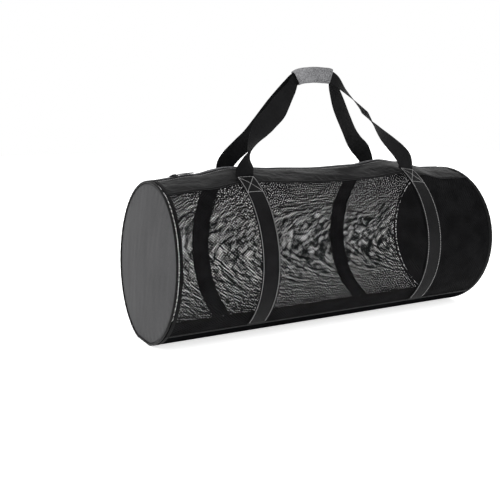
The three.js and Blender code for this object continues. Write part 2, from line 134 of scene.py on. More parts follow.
@dataclass(frozen=True)
class BagSize:
    """Sizes of the round body, in mm, with the angles of its seams in degrees from the top."""

    length: float = 952.5
    diameter: float = 381.0
    rest_flat: float = 4.0
    piping_r: float = 3.2
    clear: float = 0.3
    top_edge: float = 28.0
    base_front: float = 140.0
    base_back: float = 158.0
    sewn_short: float = 2.5
    ridge_lift: float = 27.0
    lean_back: float = 21.0
    lean_top: float = 10.0
    lean_reach: float = 0.5
    hollow_depth: float = 5.0
    hollow_spread: float = 34.0
    # Where the straps are sewn: centre of the pair and half the distance between them, in front and behind
    strap_pairs: tuple = ((0.0, 254.0), (9.0, 231.0))
    # Places along the ridge as shares of half the length, and how much of the lift each has
    ridge: tuple = ((-1.0, 0.0), (-0.76, 0.36), (-0.54, 0.86), (-0.26, 0.62), (0.0, 0.5),
                    (0.26, 0.62), (0.46, 1.0), (0.6, 0.72), (0.8, 0.06), (1.0, 0.0))
    # Hollows in the net: along, round, depth, reach
    hollows: tuple = ((-0.77, 70, 0.8, 0.16), (-0.1, 62, 1.0, 0.34), (0.78, 74, 0.7, 0.15),
                      (-0.05, -68, 0.9, 0.36), (0.75, -60, 0.7, 0.16), (-0.76, -66, 0.7, 0.15))

    @property
    def half(self) -> float:
        """Half the length."""
        return self.length / 2

    @property
    def radius(self) -> float:
        """Radius of the round section."""
        return self.diameter / 2

    @property
    def body_end(self) -> float:
        """Where the long panels stop, just inside the piping."""
        return self.half - 2 * self.piping_r - self.clear

    def base_edge(self, face: Face) -> float:
        """The angle of the base seam on one face."""
        return self.base_front if face is Face.FRONT else self.base_back

    def strap_places(self, face: Face) -> tuple:
        """The middles of the left and right strap on one face."""
        centre, half = self.strap_pairs[0 if face is Face.FRONT else 1]
        return centre - half, centre + half

    def degrees(self, mm: float) -> float:
        """The angle that a length takes round the bag."""
        return math.degrees(mm / self.radius)


class Skin:
    """The bag's outer surface as a function of the place along it and the angle round it."""

    def __init__(self, size: BagSize) -> None:
        """Keep the sizes.

        Args:
            size: The bag's sizes.
        """
        self.size = size

    def lift(self, x: np.ndarray) -> np.ndarray:
        """Height of the pulled-up ridge, eased from one table row to the next.

        Args:
            x: Places along the bag, in mm.

        Returns:
            Heights in mm.
        """
        rows = np.array(self.size.ridge)
        at = np.clip(x / self.size.half, -1, 1)
        i = np.clip(np.searchsorted(rows[:, 0], at), 1, len(rows) - 1)
        a, b = rows[i - 1], rows[i]
        share = smooth((at - a[..., 0]) / (b[..., 0] - a[..., 0]))
        return self.size.ridge_lift * (a[..., 1] + (b[..., 1] - a[..., 1]) * share)

    def hollow(self, x: np.ndarray, signed: np.ndarray) -> np.ndarray:
        """How far the net sinks in: the sum of bell-shaped hollows.

        Args:
            x: Places along the bag.
            signed: Angles from -180 to 180.

        Returns:
            Depths in mm.
        """
        s = self.size
        return sum(s.hollow_depth * depth
                   * np.exp(-(((x / s.half - along) / reach) ** 2 + ((signed - turn) / s.hollow_spread) ** 2))
                   for along, turn, depth, reach in s.hollows)

    def __call__(self, x: np.ndarray, degrees: np.ndarray, off: np.ndarray = 0.0) -> np.ndarray:
        """A circle that is pressed flat below, pulled up along its ridge, dented and leaned at its left end.

        Args:
            x: Places along the bag, in mm.
            degrees: Angles round it from the top, positive to the front.
            off: How far out from the skin, in mm.

        Returns:
            Points in mm, before the shift that centres the bag.
        """
        s = self.size
        x, degrees, off = np.broadcast_arrays(*(np.asarray(v, float) for v in (x, degrees, off)))
        signed = np.where(degrees > 180, degrees - 360, degrees)
        a = np.radians(signed)
        r = s.radius - self.hollow(x, signed)
        oy, oz = -np.sin(a), np.cos(a)
        y = oy * r
        z = (np.maximum(s.radius + oz * r, s.rest_flat) - s.rest_flat
             + self.lift(x) * ((1 + np.cos(a)) / 2) ** 3)
        fade = smooth((-x / s.half - (1 - s.lean_reach)) / s.lean_reach)
        lean = fade * (s.lean_back * y / s.radius + s.lean_top * (z - s.radius) / s.radius)
        return np.stack([x + lean, y + oy * off, z + oz * off], axis=-1)


def lattice(rows: int, cols: int, wrap: bool = False, start: int = 0) -> np.ndarray:
    """Quads of a grid of vertices numbered row by row.

    Args:
        rows: Vertices down.
        cols: Vertices across.
        wrap: Whether the last column joins the first.
        start: Number of the first vertex.

    Returns:
        One row of four vertex numbers for each quad.
    """
    i, j = np.meshgrid(np.arange(rows - 1), np.arange(cols if wrap else cols - 1), indexing="ij")
    k = (j + 1) % cols
    quads = np.stack([i * cols + j, (i + 1) * cols + j, (i + 1) * cols + k, i * cols + k], -1)
    return start + quads.reshape(-1, 4)


def squared(c: np.ndarray, power: float) -> np.ndarray:
    """Cosines or sines raised to a power with their sign kept: under 1 it squares off a circle."""
    return np.sign(c) * np.abs(c) ** power


def run_length(path: np.ndarray) -> np.ndarray:
    """How far along a line of points each of them lies, in mm."""
    return np.concatenate([[0], np.cumsum(np.linalg.norm(np.diff(path, axis=0), axis=1))])


@dataclass
class Surface:
    """Points, faces and flat places of one piece before it becomes a mesh."""

    points: np.ndarray
    faces: list
    flat: np.ndarray | None = None
    lined: tuple = ()  # which blocks of faces have the lining's finish

    def volume(self) -> float:
        """Six times the signed volume, which is negative where the faces point inwards."""
        centre = self.points.mean(0)
        total = 0.0
        for quads in self.faces:
            p = self.points[quads] - centre
            for k in range(1, quads.shape[1] - 1):
                total += np.einsum("ij,ij->", p[:, 0], np.cross(p[:, k], p[:, k + 1]))
        return total


def joined(parts: list) -> Surface:
    """Several surfaces as one.

    Args:
        parts: The surfaces.

    Returns:
        One surface with all their points and faces.
    """
    starts = np.cumsum([0] + [len(p.points) for p in parts[:-1]])
    faces = [quads + start for p, start in zip(parts, starts) for quads in p.faces]
    flat = None if parts[0].flat is None else np.vstack([p.flat for p in parts])
    return Surface(np.vstack([p.points for p in parts]), faces, flat)


def wall(outer: np.ndarray, inner: np.ndarray, flat: np.ndarray | None = None, wrap: bool = False) -> Surface:
    """A closed wall between two grids of points, with faces over both and round the rim.

    Args:
        outer: Grid of points on the outside.
        inner: Grid of the same shape on the inside.
        flat: The cloth's own flat coordinates on the grid, in mm.
        wrap: Whether the grid's columns join round.

    Returns:
        The closed surface.
    """
    rows, cols = outer.shape[:2]
    n = rows * cols
    faces = [lattice(rows, cols, wrap), lattice(rows, cols, wrap, n)[:, ::-1]]
    j = np.arange(cols if wrap else cols - 1)
    k = (j + 1) % cols
    last = (rows - 1) * cols
    faces.append(np.stack([j, k, n + k, n + j], -1))
    faces.append(np.stack([last + k, last + j, n + last + j, n + last + k], -1))
    if not wrap:
        i = np.arange(rows - 1) * cols
        faces.append(np.stack([i + cols, i, n + i, n + i + cols], -1))
        e = i + cols - 1
        faces.append(np.stack([e, e + cols, n + e + cols, n + e], -1))
    both = None if flat is None else np.vstack([flat.reshape(-1, 2)] * 2)
    return Surface(np.vstack([outer.reshape(-1, 3), inner.reshape(-1, 3)]), faces, both)


def swept(loops: np.ndarray, flat: np.ndarray | None = None, ring: bool = False) -> Surface:
    """A closed profile carried along a path, with flat caps at its ends unless it closes on itself.

    Args:
        loops: One row of profile points for each station.
        flat: The cloth's own flat coordinates on the same grid.
        ring: Whether the last station joins the first.

    Returns:
        The closed surface.
    """
    rows, cols = loops.shape[:2]
    if ring:
        i, j = np.meshgrid(np.arange(rows), np.arange(cols), indexing="ij")
        a, b, c = i * cols, ((i + 1) % rows) * cols, (j + 1) % cols
        faces = [np.stack([a + j, b + j, b + c, a + c], -1).reshape(-1, 4)]
    else:
        ends = np.arange(cols)
        faces = [lattice(rows, cols, True), ends[None, :], ((rows - 1) * cols + ends)[None, ::-1]]
    return Surface(loops.reshape(-1, 3), faces, None if flat is None else flat.reshape(-1, 2))


def srgb(code: str) -> tuple:
    """An sRGB hex colour as linear red, green, blue and alpha.

    Args:
        code: Six hex digits after a hash.

    Returns:
        Four numbers.
    """
    parts = [int(code[i:i + 2], 16) / 255 for i in (1, 3, 5)]
    return tuple(c / 12.92 if c <= 0.04045 else ((c + 0.055) / 1.055) ** 2.4 for c in parts) + (1.0,)


def node(tree: bpy.types.NodeTree, kind: str, links: dict | None = None,
         **settings: object) -> bpy.types.Node:
    """Add a node with its settings, its input values and its links.

    Args:
        tree: The material's node tree.
        kind: The node's type name without its leading ShaderNode.
        links: Input name or number to a value, or to an output socket that feeds it.
        settings: Properties of the node itself.

    Returns:
        The new node.
    """
    made = tree.nodes.new("ShaderNode" + kind)
    for name, value in settings.items():
        setattr(made, name, value)
    for name, value in (links or {}).items():
        if isinstance(value, bpy.types.NodeSocket):
            tree.links.new(value, made.inputs[name])
        else:
            made.inputs[name].default_value = value
    return made


WAVE_PERIOD = 0.314  # metres from one band to the next in a wave texture of scale 1
BLOTCHES = {"Scale": 9.0, "Detail": 5.0, "Roughness": 0.6}  # paler and darker patches about 110 mm across
FLECKS = {"Scale": 420.0, "Detail": 2.0}  # single threads that are paler or darker
SOFT_FOLDS = {"Scale": 26.0, "Detail": 4.0, "Distortion": 1.2}  # creases about 40 mm apart
WEAR = {"Scale": 14.0, "Detail": 6.0, "Roughness": 0.65}  # patches rubbed a little paler


def blank(name: str) -> tuple:
    """A new material and its node tree, which is still empty."""
    made = bpy.data.materials.new(name)
    made.use_nodes = True
    made.node_tree.nodes.clear()
    return made, made.node_tree


def shades(tree: bpy.types.NodeTree, fac: bpy.types.NodeSocket, colors: tuple,
           places: tuple) -> bpy.types.NodeSocket:
    """A dark and a light shade mixed by a value.

    Args:
        tree: The material's node tree.
        fac: The value.
        colors: The two shades as hex codes.
        places: The values at which each shade is pure.

    Returns:
        The mixed colour.
    """
    ramp = node(tree, "ValToRGB", {"Fac": fac})
    for stop, color, place in zip(ramp.color_ramp.elements, colors, places):
        stop.position, stop.color = place, srgb(color)
    return ramp.outputs[0]


def bands(tree: bpy.types.NodeTree, place: bpy.types.NodeSocket, mm: float, way: str, distortion: float,
          detail: float = 2.0) -> bpy.types.NodeSocket:
    """Bands of threads or ribs.

    Args:
        tree: The material's node tree.
        place: The coordinates that it reads.
        mm: Distance from one band to the next.
        way: Axis along which the bands follow one another.
        distortion: How uneven they are.
        detail: How fine their unevenness is.

    Returns:
        The bands' height.
    """
    return node(tree, "TexWave", {"Vector": place, "Scale": WAVE_PERIOD / (mm * MM), "Distortion": distortion,
                                  "Detail": detail}, bands_direction=way).outputs["Fac"]


@dataclass(frozen=True)
class ClothFinish:
    """A woven or coated cloth: two close shades, crossed threads, soft creases and a dull sheen."""

    name: str
    dark: str
    light: str
    thread_mm: float
    roughness: float = 0.75
    sheen: float = 0.0
    bump: float = 0.3
    crease: float = 0.0
    specular: float = 0.15

    @cache
    def material(self) -> bpy.types.Material:
        """Crossed wave bands for the threads, noise for the shade and for creases, on Object coordinates.

        Returns:
            The material, made once.
        """
        made, tree = blank(self.name)
        place = node(tree, "TexCoord").outputs["Object"]
        blotch = node(tree, "TexNoise", {"Vector": place, **BLOTCHES}).outputs[0]
        fleck = node(tree, "TexNoise", {"Vector": place, **FLECKS}).outputs[0]
        both = node(tree, "Math", {0: blotch, 1: fleck}, operation="ADD").outputs[0]
        mean = node(tree, "Math", {0: both, 1: 0.5}, operation="MULTIPLY").outputs[0]
        color = shades(tree, mean, (self.dark, self.light), (0.38, 0.62))
        warp, weft = (bands(tree, place, self.thread_mm, way, 0.6, 1.0) for way in ("X", "Z"))
        weave = node(tree, "Math", {0: warp, 1: weft}, operation="MAXIMUM").outputs[0]
        normal = node(tree, "Bump", {"Strength": self.bump, "Distance": self.thread_mm * MM * 0.5,
                                     "Height": weave}).outputs[0]
        if self.crease:
            folds = node(tree, "TexNoise", {"Vector": place, **SOFT_FOLDS}).outputs[0]
            normal = node(tree, "Bump", {"Strength": self.crease, "Distance": 4 * MM, "Height": folds,
                                         "Normal": normal}).outputs[0]
        rough = node(tree, "MapRange", {"Value": blotch, "To Min": self.roughness - 0.08,
                                        "To Max": self.roughness + 0.08}).outputs[0]
        shader = node(tree, "BsdfPrincipled", {
            "Base Color": color, "Roughness": rough, "Normal": normal,
            "Sheen Weight": self.sheen, "Sheen Roughness": 0.5, "Specular IOR Level": self.specular})
        node(tree, "OutputMaterial", {"Surface": shader.outputs[0]})
        return made


@dataclass(frozen=True)
class WebbingFinish:
    """Woven webbing: cross ribs over finer lengthwise threads, laid out on the strap's own flat map."""

    name: str
    dark: str
    light: str
    rib_mm: float = 2.6
    thread_mm: float = 1.5
    roughness: float = 0.6
    sheen: float = 0.0
    specular: float = 0.07

    @cache
    def material(self) -> bpy.types.Material:
        """Ribs are a wave along the strap and threads a finer wave across it, read from the UV map in metres.

        Returns:
            The material, made once.
        """
        made, tree = blank(self.name)
        place = node(tree, "UVMap", uv_map="flat").outputs[0]
        spot = node(tree, "TexCoord").outputs["Object"]
        ribs = bands(tree, place, self.rib_mm, "X", 0.4)
        threads = bands(tree, place, self.thread_mm, "Y", 0.3)
        height = node(tree, "Math", {0: ribs, 1: threads}, operation="ADD").outputs[0]
        wear = node(tree, "TexNoise", {"Vector": spot, **WEAR}).outputs[0]
        # Painted highlight: where ribs and threads stand highest, the colour is made a little paler
        rib_highlight = node(tree, "Math", {0: height, 1: 0.12}, operation="MULTIPLY").outputs[0]
        wear_and_rib_highlight = node(tree, "Math", {0: wear, 1: rib_highlight}, operation="ADD").outputs[0]
        color = shades(tree, wear_and_rib_highlight, (self.dark, self.light), (0.42, 0.82))
        bump = node(tree, "Bump", {"Strength": 0.5, "Distance": 0.6 * MM, "Height": height}).outputs[0]
        shader = node(tree, "BsdfPrincipled", {
            "Base Color": color, "Roughness": self.roughness, "Normal": bump,
            "Sheen Weight": self.sheen, "Sheen Roughness": 0.4, "Specular IOR Level": self.specular})
        node(tree, "OutputMaterial", {"Surface": shader.outputs[0]})
        return made


@dataclass(frozen=True)
class PlainFinish:
    """A small part too fine for a pattern to show: yarn, thread, moulded teeth or painted metal."""

    name: str
    dark: str
    light: str
    roughness: float
    metallic: float = 0.0
    grain: float = 60.0
    specular: float = 0.3

    @cache
    def material(self) -> bpy.types.Material:
        """Two shades mixed by noise on Object coordinates.

        Returns:
            The material, made once.
        """
        made, tree = blank(self.name)
        place = node(tree, "TexCoord").outputs["Object"]
        noise = node(tree, "TexNoise", {"Vector": place, "Scale": self.grain, "Detail": 3.0}).outputs[0]
        color = shades(tree, noise, (self.dark, self.light), (0.35, 0.65))
        shader = node(tree, "BsdfPrincipled", {
            "Base Color": color, "Roughness": self.roughness,
            "Metallic": self.metallic, "Specular IOR Level": self.specular})
        node(tree, "OutputMaterial", {"Surface": shader.outputs[0]})
        return made


# Charcoal 600-denier polyester with a matt coating: an even, slightly mottled dark grey
END_CLOTH = ClothFinish("charcoal_coated_polyester", "#373738", "#434344", 1.1, 0.8, sheen=0.03, bump=0.2,
                        crease=0.12)
# Its inner side: near-black, far darker than the charcoal outside, as painted shade, so the inside of the bag
# reads dark through the net
INNER_SIDE_SHADE = ClothFinish("painted_shade_inner_side", "#070708", "#0f0f10", 1.1, 0.7, bump=0.1, crease=0.1,
                          specular=0.08)
# Black coated polyester of the top: creased, so it glints softly along its folds
TOP_CLOTH = ClothFinish("black_coated_polyester", "#040405", "#0c0c0d", 1.1, 0.4, bump=0.2, crease=0.9,
                        specular=0.06)
# The base's cloth has a duller coating, so that the bright floor doesn't mirror in it
BASE_CLOTH = ClothFinish("dull_coated_polyester", "#060607", "#0e0e0f", 1.1, 0.9, bump=0.2, crease=0.5,
                         specular=0.0)
# Knitted polyester yarn: dull dark grey. The holes are wider than the real 3 mm so that they show.
NET_YARN = PlainFinish("knitted_polyester_yarn", "#0b0b0c", "#141415", 0.85, grain=30.0, specular=0.04)
# Folded binding tape over the seams: black with fine ribs
BINDING_TAPE = ClothFinish("black_binding_tape", "#050506", "#0c0c0d", 1.4, 0.7, specular=0.08)
# Cloth-covered cord round the ends: black, a little shiny on its crown
PIPING_CLOTH = ClothFinish("black_piping_cloth", "#050506", "#0c0c0d", 1.2, 0.5, specular=0.1)
# Polyester webbing: near-black, with cross ribs whose crowns are also painted a little paler: a painted
# highlight
WEBBING = WebbingFinish("ribbed_polyester_webbing", "#060607", "#141415")
# Pale grey contrast thread, drawn up to 1.2 mm thick, a little coarser than real, so that the lines show
PALE_THREAD = PlainFinish("pale_grey_thread", "#9c9c9c", "#b8b8b8", 0.6)
# Dark grey thread of the seams, only just paler than their tape
DARK_THREAD = PlainFinish("dark_grey_thread", "#3a3a3b", "#4c4c4d", 0.6)
# Brushed foam-backed cloth of the grip: mottled mid grey
GRIP_CLOTH = ClothFinish("grey_brushed_wrap", "#3e3e40", "#8c8c8e", 1.6, 0.85, sheen=0.06, bump=0.5,
                         crease=0.4)
# Woven zip tape: flat black
ZIP_TAPE = ClothFinish("woven_zip_tape", "#060607", "#0e0e0f", 1.0, 0.75, specular=0.1)
# Moulded teeth: mid grey, a painted highlight that draws the thin light line along the ridge
ZIP_TEETH_HIGHLIGHT = PlainFinish("zip_teeth_painted_highlight", "#5a5a5c", "#77777a", 0.4)
# Painted slider and pull: dark, with a soft gleam
ZIP_METAL = PlainFinish("dark_painted_zinc", "#1c1c1e", "#2b2b2e", 0.35, metallic=0.6)


@dataclass(frozen=True)
class StagePaint:
    """The lit white paper that the bag stands on."""

    color: str = "#ffffff"
    glow: float = 0.7

    def material(self) -> bpy.types.Material:
        """A matt white that glows, as paper lit from below does, so that no shadow darkens it much.

        Returns:
            The material.
        """
        made, tree = blank("lit_white_paper")
        shader = node(tree, "BsdfPrincipled", {
            "Base Color": srgb(self.color), "Roughness": 0.95, "Specular IOR Level": 0.1,
            "Emission Color": srgb(self.color), "Emission Strength": self.glow})
        node(tree, "OutputMaterial", {"Surface": shader.outputs[0]})
        return made


class Workshop:
    """Turns surfaces into Blender objects, hides the CAD parts that they replace and keeps count."""

    def __init__(self) -> None:
        """Start with no pieces."""
        self.count = 0
        self.triangles = 0

    def piece(self, name: str, surface: Surface, material: bpy.types.Material,
              replaced: tuple = (), smooth_faces: bool = True,
              lining: bpy.types.Material | None = None) -> bpy.types.Object:
        """Make one object whose mesh holds its place, in metres.

        Args:
            name: The piece's name.
            surface: Its points in mm and its faces.
            material: Its finish.
            replaced: CAD nodes that it stands for.
            smooth_faces: Whether its shading is smooth.
            lining: Finish of the blocks of faces that the surface names as lined.

        Returns:
            The object.
        """
        faces = [quads[:, ::-1] for quads in surface.faces] if surface.volume() < 0 else surface.faces
        mesh = bpy.data.meshes.new(name)
        points = (surface.points + SHIFT) * MM
        totals = np.concatenate([np.full(len(q), q.shape[1]) for q in faces])
        corners = np.concatenate([q.reshape(-1) for q in faces]).astype(np.int32)
        mesh.vertices.add(len(points))
        mesh.vertices.foreach_set("co", points.astype(np.float32).reshape(-1))
        mesh.loops.add(len(corners))
        mesh.loops.foreach_set("vertex_index", corners)
        mesh.polygons.add(len(totals))
        starts = np.concatenate([[0], np.cumsum(totals)[:-1]]).astype(np.int32)
        mesh.polygons.foreach_set("loop_start", starts)
        mesh.polygons.foreach_set("use_smooth", np.full(len(totals), smooth_faces))
        blocks = np.concatenate([np.full(len(q), k in surface.lined) for k, q in enumerate(faces)])
        mesh.polygons.foreach_set("material_index", blocks.astype(np.int32))
        if surface.flat is not None:
            layer = mesh.uv_layers.new(name="flat")
            layer.data.foreach_set("uv", (surface.flat[corners] * MM).astype(np.float32).reshape(-1))
        mesh.materials.append(material)
        if lining:
            mesh.materials.append(lining)
        mesh.update(calc_edges=True)
        mesh.validate()
        made = bpy.data.objects.new(name, mesh)
        bpy.context.scene.collection.objects.link(made)
        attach(made, "root")
        if replaced:
            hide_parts(*replaced)
        self.count += 1
        self.triangles += int((totals - 2).sum())
        log.info("%s: %d triangles", name, int((totals - 2).sum()))
        return made


def stitches(starts: np.ndarray, ends: np.ndarray, radius: float) -> Surface:
    """Short threads: each is a six-sided spindle, full in the middle and pinched where it enters the cloth.

    Args:
        starts: Where each stitch begins.
        ends: Where it ends.
        radius: Half its thickness in mm.

    Returns:
        One surface with all of them.
    """
    n, sides = len(starts), 6
    along = ends - starts
    way = unit(along)
    side = unit(np.cross(way, np.where(np.abs(way[:, 2:3]) > 0.9, [[1.0, 0, 0]], [[0, 0, 1.0]])))
    over = np.cross(side, way)
    turns = (np.arange(sides) * 2 * math.pi / sides)[None, None, :, None]
    rings = np.array([0.1, 0.5, 0.9])
    fat = np.array([0.7, 1.0, 0.7]) * radius
    circle = side[:, None, None] * np.cos(turns) + over[:, None, None] * np.sin(turns)
    body = (starts[:, None, None] + along[:, None, None] * rings[None, :, None, None]
            + circle * fat[None, :, None, None]).reshape(n, 3 * sides, 3)
    points = np.concatenate([body, starts[:, None], ends[:, None]], axis=1)
    j = np.arange(sides)
    k = (j + 1) % sides
    first, last = np.full(sides, 3 * sides), np.full(sides, 3 * sides + 1)
    tips = np.vstack([np.stack([first, j, k], -1), np.stack([last, 2 * sides + k, 2 * sides + j], -1)])
    base = (np.arange(n) * (3 * sides + 2))[:, None, None]
    quads = (lattice(3, sides, True) + base).reshape(-1, 4)
    return Surface(points.reshape(-1, 3), [quads, (tips + base).reshape(-1, 3)])


def run_of_stitches(path: np.ndarray, length: float, gap: float, radius: float) -> Surface:
    """Stitches laid end to end along a line of points, each a chord of it.

    Args:
        path: Points of the line, close together.
        length: Length of a stitch in mm.
        gap: Distance between two stitches in mm.
        radius: Half the thread's thickness.

    Returns:
        All the stitches.
    """
    far = run_length(path)
    at = np.arange(0, far[-1] - length, length + gap)
    starts, ends = (np.stack([np.interp(s, far, path[:, c]) for c in range(3)], -1)
                    for s in (at, at + length))
    return stitches(starts, ends, radius)


# Stitches as length, gap and half thickness, in mm
SEAM_STITCH = (3.6, 1.4, 0.35)
ZIP_STITCH = (3.4, 1.3, 0.4)
STRAP_STITCH = (3.4, 1.1, 0.6)
BOX_STITCH = (3.2, 1.0, 0.6)


@dataclass
class NetPanels:
    """The two long panels of open mesh, each cut in three behind the straps."""

    skin: Skin
    cell_along: float = 7.0
    cell_round: float = 6.6
    back_wider: float = 1.04
    strand: float = 2.2
    thick: float = 0.7
    under: float = 0.2  # how far below the skin its outer side lies
    waver: float = 1.9  # how far the knots stray from an even grid
    sag: float = 1.6  # height of its soft waves
    # Width along each edge in which the knots and the waves come to rest
    rest_knots: float = 25.0
    rest_waves: float = 30.0

    def net(self, face: Face, x0: float, x1: float) -> Surface:
        """A net of rhombs: strands run between the points of a grid whose indices add up to an even number.

        Each rhomb has a smaller rhomb cut from it. The skin between the two is carried to an inner side,
        and the holes and the outer edge get walls, so that the whole net is one closed body.

        Args:
            face: Which side of the bag.
            x0: Where it starts along the bag.
            x1: Where it ends.

        Returns:
            The closed net.
        """
        s = self.skin.size
        seam = s.degrees(s.clear)
        d0, d1 = s.top_edge + seam, s.base_edge(face) - seam
        # The back net's arc is longer, so its holes are a touch wider and both nets have about as many
        wider = 1.0 if face is Face.FRONT else self.back_wider
        nx = int(round((x1 - x0) / (self.cell_along * wider)))
        ny = int(round(math.radians(d1 - d0) * s.radius / (self.cell_round * wider)))
        w, h = (x1 - x0) / nx, math.radians(d1 - d0) * s.radius / ny
        i, j = np.meshgrid(np.arange(2 * nx + 1), np.arange(2 * ny + 1), indexing="ij")
        knots = (i + j) % 2 == 0
        number = np.full(knots.shape, -1)
        number[knots] = np.arange(knots.sum())
        ci, cj = np.nonzero(~knots[1:-1, 1:-1])
        ci, cj = ci + 1, cj + 1
        ring = ((1, 0), (0, 1), (-1, 0), (0, -1))
        cut = 1 - self.strand / (w * h / math.hypot(w, h))
        rim = [np.stack([ci + di * cut, cj + dj * cut], -1) for di, dj in ring]
        grid = np.vstack([np.stack([i[knots], j[knots]], -1), *rim]).astype(float)
        x = x0 + grid[:, 0] * w / 2
        round_mm = grid[:, 1] * h / 2
        # The knots wander, less and less towards the sewn edges
        inset = np.minimum(np.minimum(x - x0, x1 - x), np.minimum(round_mm, ny * h - round_mm))
        loose = self.waver * smooth(inset / self.rest_knots)
        seed = 60 + face.value
        x, round_mm = (x + loose * ripple(x / 44, round_mm / 36, seed, 4),
                       round_mm + loose * ripple(x / 38, round_mm / 42, seed + 9, 4))
        deg = d0 + np.degrees(round_mm / s.radius)
        n = len(grid)
        wave = ripple(x / 110, deg / 36, 11 + face.value, 7)
        off = self.sag * smooth(inset / self.rest_waves) * wave - self.under
        outer = self.skin(x, face.value * deg, off)
        inner = self.skin(x, face.value * deg, off - self.thick)
        corner = [number[ci + di, cj + dj] for di, dj in ring]
        cells = len(ci)
        hole = [knots.sum() + k * cells + np.arange(cells) for k in range(4)]
        faces = []
        for a in range(4):
            b = (a + 1) % 4
            top = np.stack([corner[a], corner[b], hole[b], hole[a]], -1)
            faces += [top, (top + n)[:, ::-1], np.stack([hole[a], hole[b], hole[b] + n, hole[a] + n], -1)]
        edges = np.vstack([np.stack([corner[a], corner[(a + 1) % 4]], -1) for a in range(4)])
        key = edges[:, 0].astype(np.int64) * n + edges[:, 1]
        back = edges[:, 1].astype(np.int64) * n + edges[:, 0]
        rimmed = edges[~np.isin(key, back)]
        faces.append(np.stack([rimmed[:, 1], rimmed[:, 0], rimmed[:, 0] + n, rimmed[:, 1] + n], -1))
        used = np.zeros(2 * n, bool)
        for quads in faces:
            used[quads] = True
        renumber = np.cumsum(used) - 1
        return Surface(np.vstack([outer, inner])[used], [renumber[q] for q in faces])

    def build(self, shop: Workshop) -> None:
        """Make both panels in three parts each, joined out of sight under the webbing.

        Args:
            shop: Makes the objects.
        """
        s = self.skin.size
        for face in Face:
            stops = (-s.body_end, *s.strap_places(face), s.body_end)
            for part, (x0, x1) in zip(("left", "middle", "right"), zip(stops, stops[1:])):
                label = face.name.lower()
                shop.piece(f"net_{label}_{part}", self.net(face, x0, x1), NET_YARN.material(),
                           (f"mesh_{label}",))


@dataclass
class ClothPanels:
    """The solid cloth top and base, and the tape that binds their seams to the net."""

    skin: Skin
    cloth: float = 1.2
    tape_width: float = 15.0
    binding_width: float = 9.0
    binding: float = 0.8
    creases: float = 1.5  # height of the top's creases
    raised: float = 0.2  # how far the binding lies above the skin
    stitch_at: float = 0.72  # where its stitches run, as a share of half its width

    def strip(self, d0: float, d1: float, low: float, high: float, crease: float, seed: int,
              per_mm: float = 4.0) -> Surface:
        """A strip of the skin between two angles, with creases that fade out at its edges.

        Args:
            d0: Angle of one edge.
            d1: Angle of the other.
            low: How far out its inner side is.
            high: How far out its outer side is.
            crease: Height of the creases in mm.
            seed: Picks the creases.
            per_mm: Grid spacing in mm.

        Returns:
            The closed strip.
        """
        s = self.skin.size
        nu = int(2 * s.body_end / per_mm)
        nv = max(3, int(abs(math.radians(d1 - d0)) * s.radius / per_mm))
        u, v = np.meshgrid(np.linspace(0, 1, nu), np.linspace(0, 1, nv), indexing="ij")
        x = s.body_end * (2 * u - 1)
        deg = d0 + (d1 - d0) * v
        calm = np.sin(math.pi * np.clip(v, 0, 1)) ** 0.5 * smooth(np.minimum(u, 1 - u) / 0.02)
        fold = crease * calm * (ripple(x / 150, deg / 14, seed) - 0.6)
        flat = np.stack([x, np.radians(deg) * s.radius], -1)
        return wall(self.skin(x, deg, high + fold), self.skin(x, deg, low + fold), flat)

    def build(self, shop: Workshop) -> None:
        """Make the two top panels, the base panel and the four bindings.

        Args:
            shop: Makes the objects.
        """
        s = self.skin.size
        tape = s.degrees(self.tape_width + s.clear)
        half = s.degrees(self.binding_width / 2)
        for face in Face:
            label = face.name.lower()
            top = self.strip(face.value * tape, face.value * s.top_edge, -self.cloth, 0, self.creases,
                             21 + face.value)
            made = shop.piece(f"top_cloth_{label}", top, TOP_CLOTH.material(),
                              (f"top_panel_{label}",))
            for where, edge in (("top", s.top_edge), ("base", s.base_edge(face))):
                band = self.strip(face.value * (edge - half), face.value * (edge + half), self.raised,
                                  self.raised + self.binding, 0, 5, 3.0)
                shop.piece(f"{where}_binding_tape_{label}", band, BINDING_TAPE.material(),
                           (f"{where}_binding_{label}",))
        base = self.strip(s.base_front, 360 - s.base_back, -self.cloth, 0, 0, 31)
        made = shop.piece("base_cloth", base, BASE_CLOTH.material(), ("base_panel",))
        rows = []
        x = np.linspace(-s.body_end + 2, s.body_end - 2, 900)
        for face in Face:
            for edge in (s.top_edge, s.base_edge(face)):
                for side in (-1, 1):
                    deg = face.value * (edge + side * half * self.stitch_at)
                    rows.append(run_of_stitches(self.skin(x, deg, self.raised + self.binding), *SEAM_STITCH))
        shop.piece("seam_stitches", joined(rows), DARK_THREAD.material())


